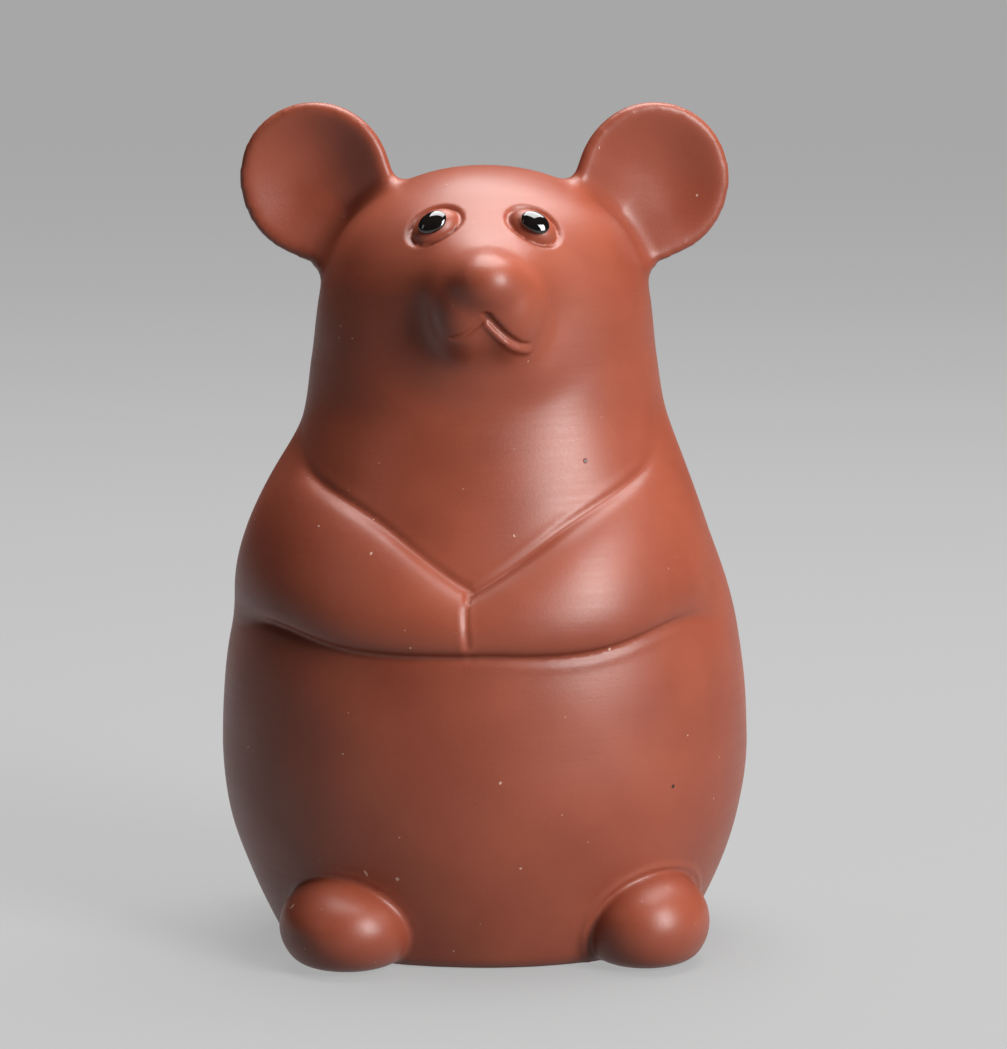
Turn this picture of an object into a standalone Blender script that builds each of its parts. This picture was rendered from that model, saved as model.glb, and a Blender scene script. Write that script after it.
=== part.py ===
"""A seated mouse in red clay: a tea pet, hollow, with black glazed pupils.

Metres, +Z up, the mouse looks along -Y. The origin is on the table, under the middle of the torso.
Left and right are those of someone who looks the mouse in the face.
"""

import math

import bmesh
import bpy
from mathutils import Matrix, Vector
from mathutils.bvhtree import BVHTree

# Torso, a turned form pressed a little flatter from front to back
BASE_RADIUS = 0.0194
HIP_HEIGHT = 0.0060
HIP_RADIUS = 0.0225
BELLY_HEIGHT = 0.0195
BELLY_RADIUS = 0.0252
WAIST_HEIGHT = 0.0300
WAIST_RADIUS = 0.0242
CHEST_HEIGHT = 0.0400
CHEST_RADIUS = 0.0208
COLLAR_HEIGHT = 0.0500
COLLAR_RADIUS = 0.0175
HEAD_HEIGHT = 0.0620
NECK_RADIUS = 0.0153
TORSO_DEPTH_RATIO = 0.88
BASE_EDGE = 0.0008

# Head and snout
HEAD_HALF_WIDTH = 0.0156
HEAD_HALF_DEPTH = 0.0136
HEAD_HALF_HEIGHT = 0.0118
SNOUT_LENGTH = 0.0162
SNOUT_RISE = 0.0022
SNOUT_TIP_RADIUS = 0.0026
JAW_FORWARD = 0.0092
JAW_DROP = 0.0046
JAW_RADIUS = 0.0062
FACE_OFFSET = 0.0003

# Muzzle and mouth
NOSE_RADII = (0.0022, 0.0022, 0.0020)
LIP_RADII = (0.0027, 0.0027, 0.0027)
LIP_SPACING = 0.0042
LIP_DROP = 0.0030
LIP_BULGE = 0.0004
MOUTH_HALF_WIDTH = 0.0039
MOUTH_DROP = 0.0027
MOUTH_SWEEP = math.radians(98)
MOUTH_GROOVE_RADIUS = 0.0004
MOUTH_TAPER = 0.5

# Ears, turned dishes with a rounded rim
EAR_RADIUS = 0.0075
EAR_THICKNESS = 0.0030
EAR_DISH_DEPTH = 0.0017
EAR_RIM_WIDTH = 0.0015
EAR_OVERHANG = 0.0003
EAR_DROP = 0.0011
EAR_BACK = 0.0015
EAR_SPLAY = math.radians(12)

# Eyes
EYE_SPACING = 0.0093
EYE_DROP = 0.0046
EYE_TILT = math.radians(30)
SOCKET_RADII = (0.0029, 0.0025, 0.0013)
EYEBALL_RADII = (0.0024, 0.0019, 0.0014)
EYEBALL_SINK = 0.0007
PUPIL_RADII = (0.00145, 0.00105, 0.00045)
SEAT_GAP = 0.0003

# Arms, folded over the chest: each station by its turn from where the hands meet
ARM_END_TURN = math.radians(115)
ARM_END_BULGE = 0.0001
SHOULDER_TURN = math.radians(85)
SHOULDER_HEIGHT = 0.0396
SHOULDER_HALF_WIDTH = 0.0078
SHOULDER_BULGE = 0.0003
ELBOW_TURN = math.radians(55)
ELBOW_HEIGHT = 0.0391
ELBOW_HALF_WIDTH = 0.0063
ELBOW_BULGE = 0.0019
FOREARM_TURN = math.radians(26)
FOREARM_HEIGHT = 0.0361
FOREARM_HALF_WIDTH = 0.0056
FOREARM_BULGE = 0.0023
HAND_HEIGHT = 0.0331
HAND_HALF_WIDTH = 0.0027
HAND_BULGE = 0.0017
HAND_OVERLAP = math.radians(3)
HANDS_TURN = math.radians(-2.8)
LEFT_ARM_EXTRA = 0.0010

# Feet
LEFT_FOOT_RADII = (0.0064, 0.0078, 0.0049)
LEFT_FOOT_SPREAD = 0.0128
LEFT_FOOT_STEP = 0.0058
RIGHT_FOOT_RADII = (0.0061, 0.0076, 0.0053)
RIGHT_FOOT_SPREAD = 0.0151
RIGHT_FOOT_STEP = 0.0052
FOOT_LIFT = 0.0038

# Tail, in relief along the back of the hips
TAIL_RADIUS = 0.0029
TAIL_TIP_RADIUS = 0.0011
TAIL_ROOT_HEIGHT = 0.0050
TAIL_TIP_HEIGHT = 0.0125
TAIL_ROOT_TURN = math.radians(180)
TAIL_TIP_TURN = math.radians(126)
TAIL_BULGE = 0.0024

# Hollow
WALL = 0.0038
FLOOR = 0.0042
VENT_RADIUS = 0.0035
VENT_BACK = 0.0085

# Fineness of the mesh
VOXEL = 0.0006
ROUND_STEPS = 48
SMALL_STEPS = 24
SMOOTH_PASSES = 3
SMOOTH_STRENGTH = 0.5
SKIN_TRIANGLES = 8000

CLAY_COLOUR = (0.330, 0.085, 0.048)
CLAY_ROUGHNESS = 0.42
GLAZE_COLOUR = (0.006, 0.005, 0.005)
GLAZE_ROUGHNESS = 0.08

LEFT, RIGHT = -1, 1


def clear_scene():
    for item in list(bpy.data.objects):
        bpy.data.objects.remove(item, do_unlink=True)


def new_collection(name):
    group = bpy.data.collections.new(name)
    bpy.context.scene.collection.children.link(group)
    return group


def new_object(name, mesh, group):
    item = bpy.data.objects.new(name, mesh)
    group.objects.link(item)
    return item


def mesh_from(form, name):
    mesh = bpy.data.meshes.new(name)
    form.to_mesh(mesh)
    form.free()
    return mesh


def ball_into(form, matrix, radii, steps):
    """Adds an ellipsoid to the form, its half-axes along the matrix's own axes."""
    place = matrix @ Matrix.Diagonal((*radii, 1))
    bmesh.ops.create_uvsphere(
        form, u_segments=steps, v_segments=steps // 2, radius=1, matrix=place
    )


def ball(name, centre, radii, group, turn=None):
    form = bmesh.new()
    matrix = Matrix.Translation(centre) @ (turn or Matrix.Identity(4))
    ball_into(form, matrix, radii, SMALL_STEPS)
    return new_object(name, mesh_from(form, name), group)


def wrapped(name, balls, group):
    """One convex skin around several balls, each given as (centre, radii)."""
    form = bmesh.new()
    for centre, radii in balls:
        ball_into(form, Matrix.Translation(centre), radii, ROUND_STEPS)
    hull = bmesh.ops.convex_hull(form, input=form.verts)
    inner = [item for item in hull["geom_interior"] if isinstance(item, bmesh.types.BMVert)]
    bmesh.ops.delete(form, geom=inner, context="VERTS")
    bmesh.ops.recalc_face_normals(form, faces=form.faces)
    return new_object(name, mesh_from(form, name), group)


def turned(name, profile, group, steps=ROUND_STEPS):
    """Turns (radius, height) points, listed from the top down, about the Z axis."""
    mesh = bpy.data.meshes.new(name)
    points = [(radius, 0, height) for radius, height in profile]
    edges = [(i, i + 1) for i in range(len(points) - 1)]
    mesh.from_pydata(points, edges, [])
    item = new_object(name, mesh, group)
    screw = item.modifiers.new("turn", "SCREW")
    screw.steps = screw.render_steps = steps
    screw.use_merge_vertices = True
    screw.merge_threshold = 1e-5
    screw.use_smooth_shade = True
    return item


def tube(name, points, radii, group):
    """A round bar through the points, with its own radius at each, as a closed mesh."""
    curve = bpy.data.curves.new(name, "CURVE")
    curve.dimensions = "3D"
    curve.bevel_depth = 1
    curve.bevel_resolution = 2
    curve.use_fill_caps = True
    spline = curve.splines.new("POLY")
    spline.points.add(len(points) - 1)
    for knot, point, radius in zip(spline.points, points, radii):
        knot.co = (*point, 1)
        knot.radius = radius
    bar = new_object(name + "_line", curve, group)
    graph = bpy.context.evaluated_depsgraph_get()
    mesh = bpy.data.meshes.new_from_object(bar.evaluated_get(graph))
    form = bmesh.new()
    form.from_mesh(mesh)
    bmesh.ops.remove_doubles(form, verts=form.verts, dist=1e-6)
    form.to_mesh(mesh)
    form.free()
    item = new_object(name, mesh, group)
    item.matrix_world = bar.matrix_world
    bpy.data.objects.remove(bar, do_unlink=True)
    return item


def smooth_value(stations, place):
    """A smooth curve through (place, value) stations, each slope taken from its two neighbours."""
    last = len(stations) - 1
    slopes = []
    for i in range(last + 1):
        before, after = stations[max(i - 1, 0)], stations[min(i + 1, last)]
        slopes.append((after[1] - before[1]) / (after[0] - before[0]))
    i = 0
    while i < last - 1 and place > stations[i + 1][0]:
        i += 1
    (start, low), (end, high) = stations[i], stations[i + 1]
    span = end - start
    t = min(max((place - start) / span, 0), 1)
    rise = t * t * (3 - 2 * t)
    lead = span * (slopes[i] * t * (1 - t) ** 2 - slopes[i + 1] * t * t * (1 - t))
    return low + (high - low) * rise + lead


TORSO = (
    (0, BASE_RADIUS),
    (HIP_HEIGHT, HIP_RADIUS),
    (BELLY_HEIGHT, BELLY_RADIUS),
    (WAIST_HEIGHT, WAIST_RADIUS),
    (CHEST_HEIGHT, CHEST_RADIUS),
    (COLLAR_HEIGHT, COLLAR_RADIUS),
    (HEAD_HEIGHT, NECK_RADIUS),
)


def torso_radius(height):
    return smooth_value(TORSO, height)


def torso_point(turn, height, out):
    """A point at a height, turned from the front towards +X, and this far outside the torso's skin."""
    radius = torso_radius(height) + out
    return Vector(
        (radius * math.sin(turn), -radius * math.cos(turn) * TORSO_DEPTH_RATIO, height)
    )


def flattened(item):
    item.scale.y = TORSO_DEPTH_RATIO
    return item


def torso(group):
    """It reaches a little below the ground, which then cuts its base flat."""
    steps = 36
    heights = [HEAD_HEIGHT * (1 - i / steps) for i in range(steps)]
    profile = [(0, HEAD_HEIGHT)] + [(torso_radius(z), z) for z in heights]
    profile += [(BASE_RADIUS, BASE_EDGE), (BASE_RADIUS - BASE_EDGE, -BASE_EDGE), (0, -BASE_EDGE)]
    return flattened(turned("torso", profile, group))


HEAD_CENTRE = Vector((0, 0, HEAD_HEIGHT))
NOSE_CENTRE = HEAD_CENTRE + Vector((FACE_OFFSET, -SNOUT_LENGTH, SNOUT_RISE))
JAW_CENTRE = HEAD_CENTRE + Vector((FACE_OFFSET, -JAW_FORWARD, -JAW_DROP))


def head(group):
    skull = (HEAD_CENTRE, (HEAD_HALF_WIDTH, HEAD_HALF_DEPTH, HEAD_HALF_HEIGHT))
    tip = (NOSE_CENTRE, (SNOUT_TIP_RADIUS,) * 3)
    jaw = (JAW_CENTRE, (JAW_RADIUS,) * 3)
    return wrapped("head", [skull, tip, jaw], group)


def muzzle(group):
    nose_tip = NOSE_CENTRE + Vector((0, -SNOUT_TIP_RADIUS + NOSE_RADII[1] / 2, 0))
    pieces = [ball("nose", nose_tip, NOSE_RADII, group)]
    low = NOSE_CENTRE.z - LIP_DROP
    slope = LIP_DROP / (NOSE_CENTRE.z - JAW_CENTRE.z)
    nose_front = NOSE_CENTRE.y - SNOUT_TIP_RADIUS
    jaw_front = JAW_CENTRE.y - JAW_RADIUS
    front = nose_front + (jaw_front - nose_front) * slope
    for side in (LEFT, RIGHT):
        x = NOSE_CENTRE.x + side * LIP_SPACING / 2
        lip = Vector((x, front + LIP_RADII[1] - LIP_BULGE, low))
        pieces.append(ball("lip", lip, LIP_RADII, group))
    return pieces


def ear(side, group):
    """A shallow dish, turned about its own axis and set on the side of the head."""
    rim = EAR_RIM_WIDTH / 2
    ring = EAR_RADIUS - rim
    steps = 8
    front = [
        (ring * i / steps - rim * (i == steps), -EAR_DISH_DEPTH * (1 - (i / steps) ** 2))
        for i in range(steps + 1)
    ]
    lip = [
        (ring + rim * math.sin(angle), rim * math.cos(angle))
        for angle in (math.radians(30 * k) for k in range(-2, 4))
    ]
    back = [
        (EAR_RADIUS * math.cos(angle), -EAR_THICKNESS * math.sin(angle))
        for angle in (math.radians(90 * k / steps) for k in range(1, steps))
    ]
    profile = front + lip + back + [(0, -EAR_THICKNESS)]
    item = turned("ear", profile, group)
    centre = HEAD_CENTRE + Vector(
        (
            side * (HEAD_HALF_WIDTH + EAR_OVERHANG),
            EAR_BACK,
            HEAD_HALF_HEIGHT - EAR_DROP,
        )
    )
    face_front = Matrix.Rotation(math.radians(90), 4, "X")
    splay = Matrix.Rotation(side * EAR_SPLAY, 4, "Z")
    item.matrix_world = Matrix.Translation(centre) @ splay @ face_front
    return item


def arm_stations(side):
    """Rows of (turn from where the hands meet, height, half width, bulge) along one arm."""
    extra = LEFT_ARM_EXTRA if side == LEFT else 0
    hand = (HAND_HEIGHT, HAND_HALF_WIDTH, HAND_BULGE)
    shoulder = (SHOULDER_HEIGHT, SHOULDER_HALF_WIDTH)
    return (
        (-HAND_OVERLAP, *hand),
        (0, *hand),
        (FOREARM_TURN, FOREARM_HEIGHT, FOREARM_HALF_WIDTH, FOREARM_BULGE),
        (ELBOW_TURN, ELBOW_HEIGHT, ELBOW_HALF_WIDTH, ELBOW_BULGE + extra / 2),
        (SHOULDER_TURN, *shoulder, SHOULDER_BULGE + extra),
        (ARM_END_TURN, *shoulder, ARM_END_BULGE),
    )


def arm(side, group):
    """A fat leaf bent round the torso, half of it sunk under the skin, with a blunt hand end."""
    rows = arm_stations(side)
    columns = [[(row[0], row[k]) for row in rows] for k in (1, 2, 3)]
    form = bmesh.new()
    bmesh.ops.create_uvsphere(form, u_segments=SMALL_STEPS, v_segments=ROUND_STEPS, radius=1)
    for point in form.verts:
        ring = math.hypot(point.co.x, point.co.y)
        share = math.acos(max(-1, min(1, point.co.z))) / math.pi
        turn = -HAND_OVERLAP + (ARM_END_TURN + HAND_OVERLAP) * share
        height, half_width, bulge = (smooth_value(column, turn) for column in columns)
        tip = max(0, -turn / HAND_OVERLAP)
        close = math.sqrt(max(0, 1 - tip**2)) if point.co.z > 0 else min(1, ring)
        across = point.co.x / ring if ring else 0
        out = point.co.y / ring if ring else 0
        point.co = torso_point(
            side * turn + HANDS_TURN, height + half_width * across * close, bulge * out * close
        )
    bmesh.ops.recalc_face_normals(form, faces=form.faces)
    return new_object("arm", mesh_from(form, "arm"), group)


def foot(side, radii, spread, step, group):
    hip = math.sqrt(HIP_RADIUS**2 - spread**2) * TORSO_DEPTH_RATIO
    centre = Vector((side * spread, radii[1] - hip - step, FOOT_LIFT))
    return ball("foot", centre, radii, group)


def feet(group):
    left = foot(LEFT, LEFT_FOOT_RADII, LEFT_FOOT_SPREAD, LEFT_FOOT_STEP, group)
    right = foot(RIGHT, RIGHT_FOOT_RADII, RIGHT_FOOT_SPREAD, RIGHT_FOOT_STEP, group)
    return [left, right]


def tail(group):
    steps = 24
    points, radii = [], []
    for i in range(steps + 1):
        t = i / steps
        turn = TAIL_ROOT_TURN + (TAIL_TIP_TURN - TAIL_ROOT_TURN) * t
        climb = (1 - math.cos(math.pi * t)) / 2
        height = TAIL_ROOT_HEIGHT + (TAIL_TIP_HEIGHT - TAIL_ROOT_HEIGHT) * climb
        radius = TAIL_RADIUS + (TAIL_TIP_RADIUS - TAIL_RADIUS) * t
        points.append(torso_point(LEFT * turn, height, TAIL_BULGE - radius / 2))
        radii.append(radius)
    return tube("tail", points, radii, group)


def joined(name, pieces, group):
    """Puts the pieces, as modelled, into one mesh and removes them."""
    graph = bpy.context.evaluated_depsgraph_get()
    form = bmesh.new()
    for piece in pieces:
        mesh = bpy.data.meshes.new_from_object(piece.evaluated_get(graph))
        mesh.transform(piece.matrix_world)
        form.from_mesh(mesh)
        bpy.data.meshes.remove(mesh)
    for piece in pieces:
        bpy.data.objects.remove(piece, do_unlink=True)
    return new_object(name, mesh_from(form, name), group)


def soften(body):
    """Welds the overlapping forms into one skin, eases its creases and thins its mesh."""
    remesh = body.modifiers.new("one_skin", "REMESH")
    remesh.mode = "VOXEL"
    remesh.voxel_size = VOXEL
    ease = body.modifiers.new("ease", "SMOOTH")
    ease.factor = SMOOTH_STRENGTH
    ease.iterations = SMOOTH_PASSES
    graph = bpy.context.evaluated_depsgraph_get()
    mesh = body.evaluated_get(graph).to_mesh()
    mesh.calc_loop_triangles()
    found = len(mesh.loop_triangles)
    thin = body.modifiers.new("thin", "DECIMATE")
    thin.ratio = min(1, SKIN_TRIANGLES / found)


def skin_tree(body):
    graph = bpy.context.evaluated_depsgraph_get()
    mesh = body.evaluated_get(graph).to_mesh()
    form = bmesh.new()
    form.from_mesh(mesh)
    tree = BVHTree.FromBMesh(form)
    form.free()
    return tree


def seen_from_front(tree, x, z):
    """Where a look along +Y meets the skin, and the skin's outward direction there."""
    start = Vector((x, -1, z))
    point, normal, _, _ = tree.ray_cast(start, Vector((0, 1, 0)))
    return point, normal


def eye_axes(side, normal):
    """Long axis, short axis and outward axis of an eye that lies in the skin and slopes outwards."""
    x, z = math.cos(EYE_TILT), -side * math.sin(EYE_TILT)
    y = -(normal.x * x + normal.z * z) / normal.y
    long_axis = Vector((x, y, z)).normalized()
    short_axis = normal.cross(long_axis).normalized()
    return Matrix((long_axis, short_axis, normal)).transposed().to_4x4()


class Eye:
    """Where one eye lies on the head, and the direction in which its pupil looks."""

    def __init__(self, side, tree):
        x = side * EYE_SPACING / 2
        z = HEAD_HEIGHT + HEAD_HALF_HEIGHT - EYE_DROP
        self.side = side
        self.point, self.normal = seen_from_front(tree, x, z)
        self.turn = eye_axes(side, self.normal)
        self.ball_centre = self.point - self.normal * EYEBALL_SINK

    def pupil(self, name, grow, group):
        ahead = (self.normal + Vector((0, -1, 0))).normalized()
        inverse = self.turn.to_3x3().transposed()
        local = inverse @ ahead
        scaled = Vector([local[k] / EYEBALL_RADII[k] for k in range(3)]).normalized()
        spot = Vector([scaled[k] * EYEBALL_RADII[k] for k in range(3)])
        slope = Vector([scaled[k] / EYEBALL_RADII[k] for k in range(3)])
        out = (self.turn.to_3x3() @ slope).normalized()
        centre = self.ball_centre + self.turn.to_3x3() @ spot
        radii = [radius + grow for radius in PUPIL_RADII]
        return ball(name, centre, radii, group, eye_axes(self.side, out))


def mouth_cutter(side, tree, group):
    """Half of the mouth: a thin round groove that drops from under the nose and turns outwards."""
    steps = 10
    top = NOSE_CENTRE.z - LIP_DROP
    points, radii = [], []
    for i in range(steps + 1):
        angle = MOUTH_SWEEP * i / steps
        x = NOSE_CENTRE.x + side * MOUTH_HALF_WIDTH * (1 - math.cos(angle))
        z = top - MOUTH_DROP * math.sin(angle)
        points.append(seen_from_front(tree, x, z)[0])
        radii.append(MOUTH_GROOVE_RADIUS * (1 - MOUTH_TAPER * (i / steps) ** 3))
    return tube("mouth", points, radii, group)


def ground_cutter(group):
    side = 8 * BELLY_RADIUS
    form = bmesh.new()
    bmesh.ops.create_cube(form, size=side, matrix=Matrix.Translation((0, 0, -side / 2)))
    return new_object("ground", mesh_from(form, "ground"), group)


def hollow_cutter(group):
    steps = 14
    top = HEAD_HEIGHT - WALL
    heights = [top + (FLOOR - top) * i / steps for i in range(steps + 1)]
    profile = [(0, top + WALL)]
    profile += [(torso_radius(z) - WALL / TORSO_DEPTH_RATIO, z) for z in heights]
    profile += [(0, FLOOR)]
    return flattened(turned("hollow", profile, group, SMALL_STEPS))


def vent_cutter(group):
    form = bmesh.new()
    depth = 3 * FLOOR
    bmesh.ops.create_cone(
        form,
        cap_ends=True,
        segments=SMALL_STEPS,
        radius1=VENT_RADIUS,
        radius2=VENT_RADIUS,
        depth=depth,
        matrix=Matrix.Translation((0, VENT_BACK, 0)),
    )
    return new_object("vent", mesh_from(form, "vent"), group)


def boolean(body, other, operation):
    cut = body.modifiers.new(other.name, "BOOLEAN")
    cut.operation = operation
    cut.object = other
    cut.solver = "EXACT"


def hide_cutters(group):
    for item in group.objects:
        item.hide_render = True
        item.display_type = "WIRE"


def new_material(name, colour, roughness, coat):
    material = bpy.data.materials.new(name)
    material.use_nodes = True
    shader = material.node_tree.nodes["Principled BSDF"]
    shader.inputs["Base Color"].default_value = (*colour, 1)
    shader.inputs["Roughness"].default_value = roughness
    shader.inputs["Metallic"].default_value = 0
    shader.inputs["Coat Weight"].default_value = coat
    return material


def finish_with(item, material):
    item.data.materials.clear()
    item.data.materials.append(material)
    item.data.shade_smooth()


def clay_body(group, cutters):
    pieces = [torso(group), head(group), tail(group)]
    pieces += muzzle(group) + feet(group)
    for side in (LEFT, RIGHT):
        pieces.append(ear(side, group))
        pieces.append(arm(side, group))
    body = joined("clay_body", pieces, group)
    soften(body)
    tree = skin_tree(body)
    eyes = {"left": Eye(LEFT, tree), "right": Eye(RIGHT, tree)}
    boolean(body, ground_cutter(cutters), "DIFFERENCE")
    boolean(body, hollow_cutter(cutters), "DIFFERENCE")
    boolean(body, vent_cutter(cutters), "DIFFERENCE")
    for side in (LEFT, RIGHT):
        boolean(body, mouth_cutter(side, tree, cutters), "DIFFERENCE")
    for name, eye in eyes.items():
        socket = ball(name + "_socket", eye.point, SOCKET_RADII, cutters, eye.turn)
        boolean(body, socket, "DIFFERENCE")
        eyeball = ball(name + "_eyeball", eye.ball_centre, EYEBALL_RADII, cutters, eye.turn)
        boolean(body, eyeball, "UNION")
        boolean(body, eye.pupil(name + "_seat", SEAT_GAP, cutters), "DIFFERENCE")
    return body, eyes


def main():
    clear_scene()
    parts = new_collection("tea_pet_mouse")
    cutters = new_collection("cutters")
    clay = new_material("red_clay", CLAY_COLOUR, CLAY_ROUGHNESS, 0)
    glaze = new_material("black_glaze", GLAZE_COLOUR, GLAZE_ROUGHNESS, 1)
    body, eyes = clay_body(parts, cutters)
    finish_with(body, clay)
    for name, eye in eyes.items():
        finish_with(eye.pupil(name + "_pupil", 0, parts), glaze)
    hide_cutters(cutters)


main()
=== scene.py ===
# %% [markdown]
# A tea pet is a small clay figure that stands on the tea tray. This one is a seated mouse in red
# clay, burnished to a satin sheen, with a drop of black glaze in each eye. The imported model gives
# the frame: three solids at their real size. Everything below is set around them and never moves
# them.

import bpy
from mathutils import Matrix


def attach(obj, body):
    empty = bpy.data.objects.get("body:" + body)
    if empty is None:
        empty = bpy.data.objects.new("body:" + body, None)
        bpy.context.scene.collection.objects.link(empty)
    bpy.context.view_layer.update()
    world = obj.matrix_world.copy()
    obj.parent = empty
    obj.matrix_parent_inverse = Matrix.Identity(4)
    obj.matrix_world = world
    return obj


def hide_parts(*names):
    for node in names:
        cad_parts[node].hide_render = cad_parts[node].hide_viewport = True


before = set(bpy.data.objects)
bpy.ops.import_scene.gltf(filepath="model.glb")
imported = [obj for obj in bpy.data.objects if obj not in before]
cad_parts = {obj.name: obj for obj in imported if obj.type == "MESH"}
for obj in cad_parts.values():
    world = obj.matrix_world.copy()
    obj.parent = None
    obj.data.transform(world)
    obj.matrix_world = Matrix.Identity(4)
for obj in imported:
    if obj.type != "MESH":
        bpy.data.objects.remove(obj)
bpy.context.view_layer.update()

# %% [markdown]
# The photo was taken with a long lens, a little above the mouse's eyes, so its two sides stay
# nearly parallel. The camera is placed by four facts: how far away it is, how high it looks from,
# which point it looks at, and where that point falls in the picture.

# %% Set the camera
import math

import bmesh
import bpy
import numpy as np
from mathutils import Matrix, Vector

PICTURE_WIDTH, PICTURE_HEIGHT = 1007, 1049
FOCAL_PIXELS = 4700
CAMERA_DISTANCE = 0.450
CAMERA_ELEVATION = math.radians(8)
CAMERA_TARGET = Vector((0, 0, 0.040))
TARGET_PIXEL = (484.5, 520.5)
SENSOR_WIDTH = 36

rise, level = math.sin(CAMERA_ELEVATION), math.cos(CAMERA_ELEVATION)
metres_a_pixel = CAMERA_DISTANCE / FOCAL_PIXELS
across = (PICTURE_WIDTH / 2 - TARGET_PIXEL[0]) * metres_a_pixel
down = (PICTURE_HEIGHT / 2 - TARGET_PIXEL[1]) * metres_a_pixel
camera = bpy.data.objects.new("camera", bpy.data.cameras.new("camera"))
bpy.context.scene.collection.objects.link(camera)
camera.location = (
    CAMERA_TARGET
    + CAMERA_DISTANCE * Vector((0, -level, rise))
    + Vector((across, 0, 0))
    - down * Vector((0, rise, level))
)
camera.rotation_euler = (math.radians(90) - CAMERA_ELEVATION, 0, 0)
camera.data.lens = SENSOR_WIDTH * FOCAL_PIXELS / PICTURE_HEIGHT
camera.data.sensor_width = SENSOR_WIDTH
camera.data.clip_start = 0.01
bpy.context.scene.camera = camera
print("camera at", tuple(round(value, 4) for value in camera.location))

# %% [markdown]
# Soft clay is built up from lobes: a turned torso, a head, ears, arms and feet, each pressed on
# and its seam rubbed over with a wet finger. Meshes joined edge to edge can't show that. A
# distance formula can: it says how far any point is from the clay, and two lobes blend by a
# formula whose one number is how wide the rubbed seam is. So the skin here is a formula, and the
# mesh is only what samples it. All its sizes are in millimetres, as on the bench.

# %% Blend and carve distances
MM = 0.001
LEFT, RIGHT = -1, 1


def blend(first, second, width):
    """The nearer of two lobes, with the seam between them filled up over this width."""
    reach = np.maximum(width - np.abs(first - second), 0) / width
    return np.minimum(first, second) - reach**2 * width / 4


def carve(body, tool, width):
    """The body with the tool's shape taken out, its lip rounded over this width."""
    return -blend(-body, tool, width)


def bump(values, centre, width):
    """One at the centre and next to nothing beyond twice the width."""
    return np.exp(-(((values - centre) / width) ** 2))


def ramp(values, low, high):
    t = np.clip((values - low) / (high - low), 0, 1)
    return t * t * (3 - 2 * t)


def ball(points, centre, radii, turn=None):
    """Distance to an ellipsoid. The columns of turn are its own axes."""
    local = points - np.array(centre)
    if turn is not None:
        local = local @ turn
    near = np.linalg.norm(local / radii, axis=1)
    slope = np.linalg.norm(local / np.square(radii), axis=1)
    return near * (near - 1) / np.maximum(slope, 1e-9)


def rod(points, start, end, start_radius, end_radius):
    """Distance to a rod that swells or thins evenly between its two round ends."""
    start, end = np.array(start, float), np.array(end, float)
    length = np.linalg.norm(end - start)
    axis = (end - start) / length
    local = points - start
    along = local @ axis
    away = np.linalg.norm(local - along[:, None] * axis, axis=1)
    lean = (start_radius - end_radius) / length
    share = np.clip((along - away * lean / math.sqrt(1 - lean**2)) / length, 0, 1)
    radius = start_radius + (end_radius - start_radius) * share
    return np.hypot(away, along - share * length) - radius


def smooth_value(stations, places):
    """A smooth curve through rows of (place, value), each slope taken from its two neighbours."""
    where, values = stations.T
    slopes = np.empty(len(values))
    slopes[1:-1] = (values[2:] - values[:-2]) / (where[2:] - where[:-2])
    slopes[0] = (values[1] - values[0]) / (where[1] - where[0])
    slopes[-1] = (values[-1] - values[-2]) / (where[-1] - where[-2])
    i = np.clip(np.searchsorted(where, places) - 1, 0, len(where) - 2)
    span = where[i + 1] - where[i]
    t = np.clip((places - where[i]) / span, 0, 1)
    lead = span * (slopes[i] * t * (1 - t) ** 2 - slopes[i + 1] * t * t * (1 - t))
    return values[i] + (values[i + 1] - values[i]) * t * t * (3 - 2 * t) + lead


# %% [markdown]
# The torso is thrown like a small bottle: a flat foot, a full belly, a narrower chest, and a neck
# that runs straight into the head. It is then pressed a little flatter from front to back. A
# turned body needs only its radius at a few heights and a smooth curve through them.

# %% The torso
TORSO_STATIONS = np.array(
    [
        (0.0, 19.4),
        (6.0, 22.3),
        (12.5, 24.5),
        (19.5, 25.2),
        (30.0, 24.2),
        (40.0, 20.8),
        (50.0, 17.4),
        (62.0, 14.4),
        (68.0, 6.0),
    ]
)
TORSO_DEPTH_RATIO = 0.88


def torso_radius(height):
    return smooth_value(TORSO_STATIONS, height)


def torso_out(points):
    """How far out from the torso's skin, measured level."""
    x, y, z = points.T
    return np.hypot(x, y / TORSO_DEPTH_RATIO) - torso_radius(z)


def torso(points):
    z = points[:, 2]
    step = 0.05
    slope = (torso_radius(z + step) - torso_radius(z - step)) / (2 * step)
    return np.maximum(torso_out(points) / np.sqrt(1 + slope**2), z - TORSO_STATIONS[-1, 0])


def torso_point(turn, height, out):
    """A point this far outside the torso's skin, turned from the front towards +X."""
    radius = float(torso_radius(np.array(height))) + out
    return np.array(
        [radius * math.sin(turn), -radius * math.cos(turn) * TORSO_DEPTH_RATIO, height]
    )


print("radius at the belly and at the neck:", torso_radius(np.array([19.5, 50.0])), "mm")

# %% [markdown]
# The head is one egg of clay pulled forward to a short snout, with a fuller patch below for the
# jaw. The nose and the two lips are small pats pressed on at the tip.

# %% The head and the muzzle
HEAD_CENTRE = np.array([0, 0, 62.0])
HEAD_RADII = np.array([14.9, 13.6, 11.7])
SNOUT_TIP = HEAD_CENTRE + [0.3, -16.2, 2.2]
SNOUT_TIP_RADIUS = 2.6
JAW = HEAD_CENTRE + [0.3, -9.2, -4.6]
JAW_RADIUS = 6.2
NOSE = SNOUT_TIP + [0, -1.1, 0.0]
NOSE_RADII = (1.9, 2.0, 1.7)
LIP_RADII = (2.3, 2.2, 2.9)
LIP_SPACING = 3.9
LIP_PLACE = SNOUT_TIP + [0, 0.3, -2.9]
LIP_SEAM = 1.3
SNOUT_SEAM = 1.5


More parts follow.
